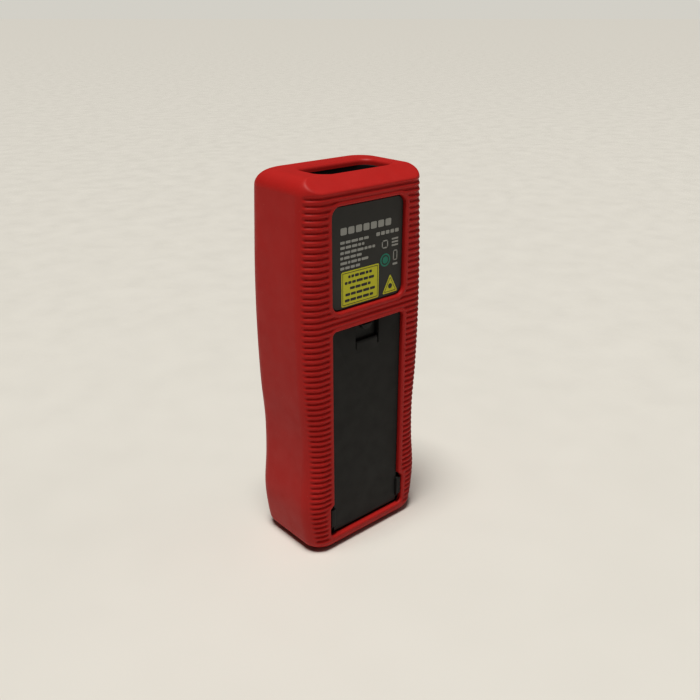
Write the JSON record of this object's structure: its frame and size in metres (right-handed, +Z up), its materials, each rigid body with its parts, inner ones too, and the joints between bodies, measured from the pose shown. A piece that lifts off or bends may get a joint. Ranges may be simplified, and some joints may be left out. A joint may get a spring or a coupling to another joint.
{
  "type": "laser distance meter",
  "caption": "Pocket laser distance meter in a ribbed rubber boot, with a light port on top, a display and keys on the front, and a latched battery door in the back.",
  "frame": {"origin": "centre of the footprint, on the surface that the meter stands on", "axes": "+Z up towards the light port, +Y out of the back where the battery door is, -Y out of the front where the display and keys are, +X across the width"},
  "size_m": [0.0444, 0.026, 0.11],
  "materials": {
    "red_rubber": "satin, ribbed",
    "black_plastic": "fine spark-eroded texture",
    "front_plastic": "fine spark-eroded texture",
    "label": "satin printed film",
    "clear_window": "polished",
    "tinted_window": "polished",
    "lens": "polished",
    "lcd": "polished",
    "light_guide": "milky",
    "elastomer": "matt",
    "circuit_board": "solder mask",
    "black_parts": "moulded",
    "steel": "plated",
    "silicone": "matt",
    "frame_plastic": "matt black",
    "brass": "turned",
    "flex": "polyimide film",
    "foam": "open foam",
    "cell_sleeve": "printed sleeve",
    "red_key": "satin",
    "grey_key": "satin"
  },
  "bodies": {
    "root": {"rubber_boot": "red_rubber", "front_shell": "front_plastic", "rear_shell": "black_plastic", "display_window": "clear_window", "lcd_panel": "lcd", "light_guide": "light_guide", "zebra_strip": "elastomer", "main_board": "circuit_board", "board_components": "black_parts", "dome_switches": "steel", "buzzer": "black_parts", "keypad_mat": "silicone", "board_screws": "steel", "case_screws": "steel", "optics_frame": "frame_plastic", "laser_barrel": "brass", "laser_diode": "brass", "collimator_lens": "lens", "laser_flex": "flex", "receiver_lens": "lens", "lens_retainer": "black_parts", "light_sensor": "brass", "sensor_board": "circuit_board", "optics_window": "tinted_window", "window_gasket": "foam", "battery_1": "cell_sleeve", "battery_2": "cell_sleeve", "battery_springs": "steel", "bridge_plate": "steel", "contact_plates": "steel", "rating_plate": "label"},
    "door": {"battery_door": "black_plastic", "door_pad": "foam"},
    "latch": {"door_latch": "black_plastic"},
    "measure_key": {"measure_key": "red_key"},
    "mode_key": {"mode_key": "grey_key"},
    "off_key": {"off_key": "grey_key"}
  },
  "joints": [
    {"name": "door_hinge", "type": "hinge", "parent": "root", "child": "door", "pos_m": [0, 0.01045, 0.00585], "axis": [-1, 0, 0], "range_deg": [0, 60]},
    {"name": "latch_flex", "type": "hinge", "parent": "door", "child": "latch", "pos_m": [0, 0.01115, 0.0619], "axis": [1, 0, 0], "range_deg": [0, 8], "stiffness_Nm_per_rad": 0.2},
    {"name": "measure_key_press", "type": "slide", "parent": "root", "child": "measure_key", "axis": [0, 1, 0], "range_m": [0, 0.0005], "stiffness_N_per_m": 1500},
    {"name": "mode_key_press", "type": "slide", "parent": "root", "child": "mode_key", "axis": [0, 1, 0], "range_m": [0, 0.0005], "stiffness_N_per_m": 1200},
    {"name": "off_key_press", "type": "slide", "parent": "root", "child": "off_key", "axis": [0, 1, 0], "range_m": [0, 0.0005], "stiffness_N_per_m": 1200}
  ]
}
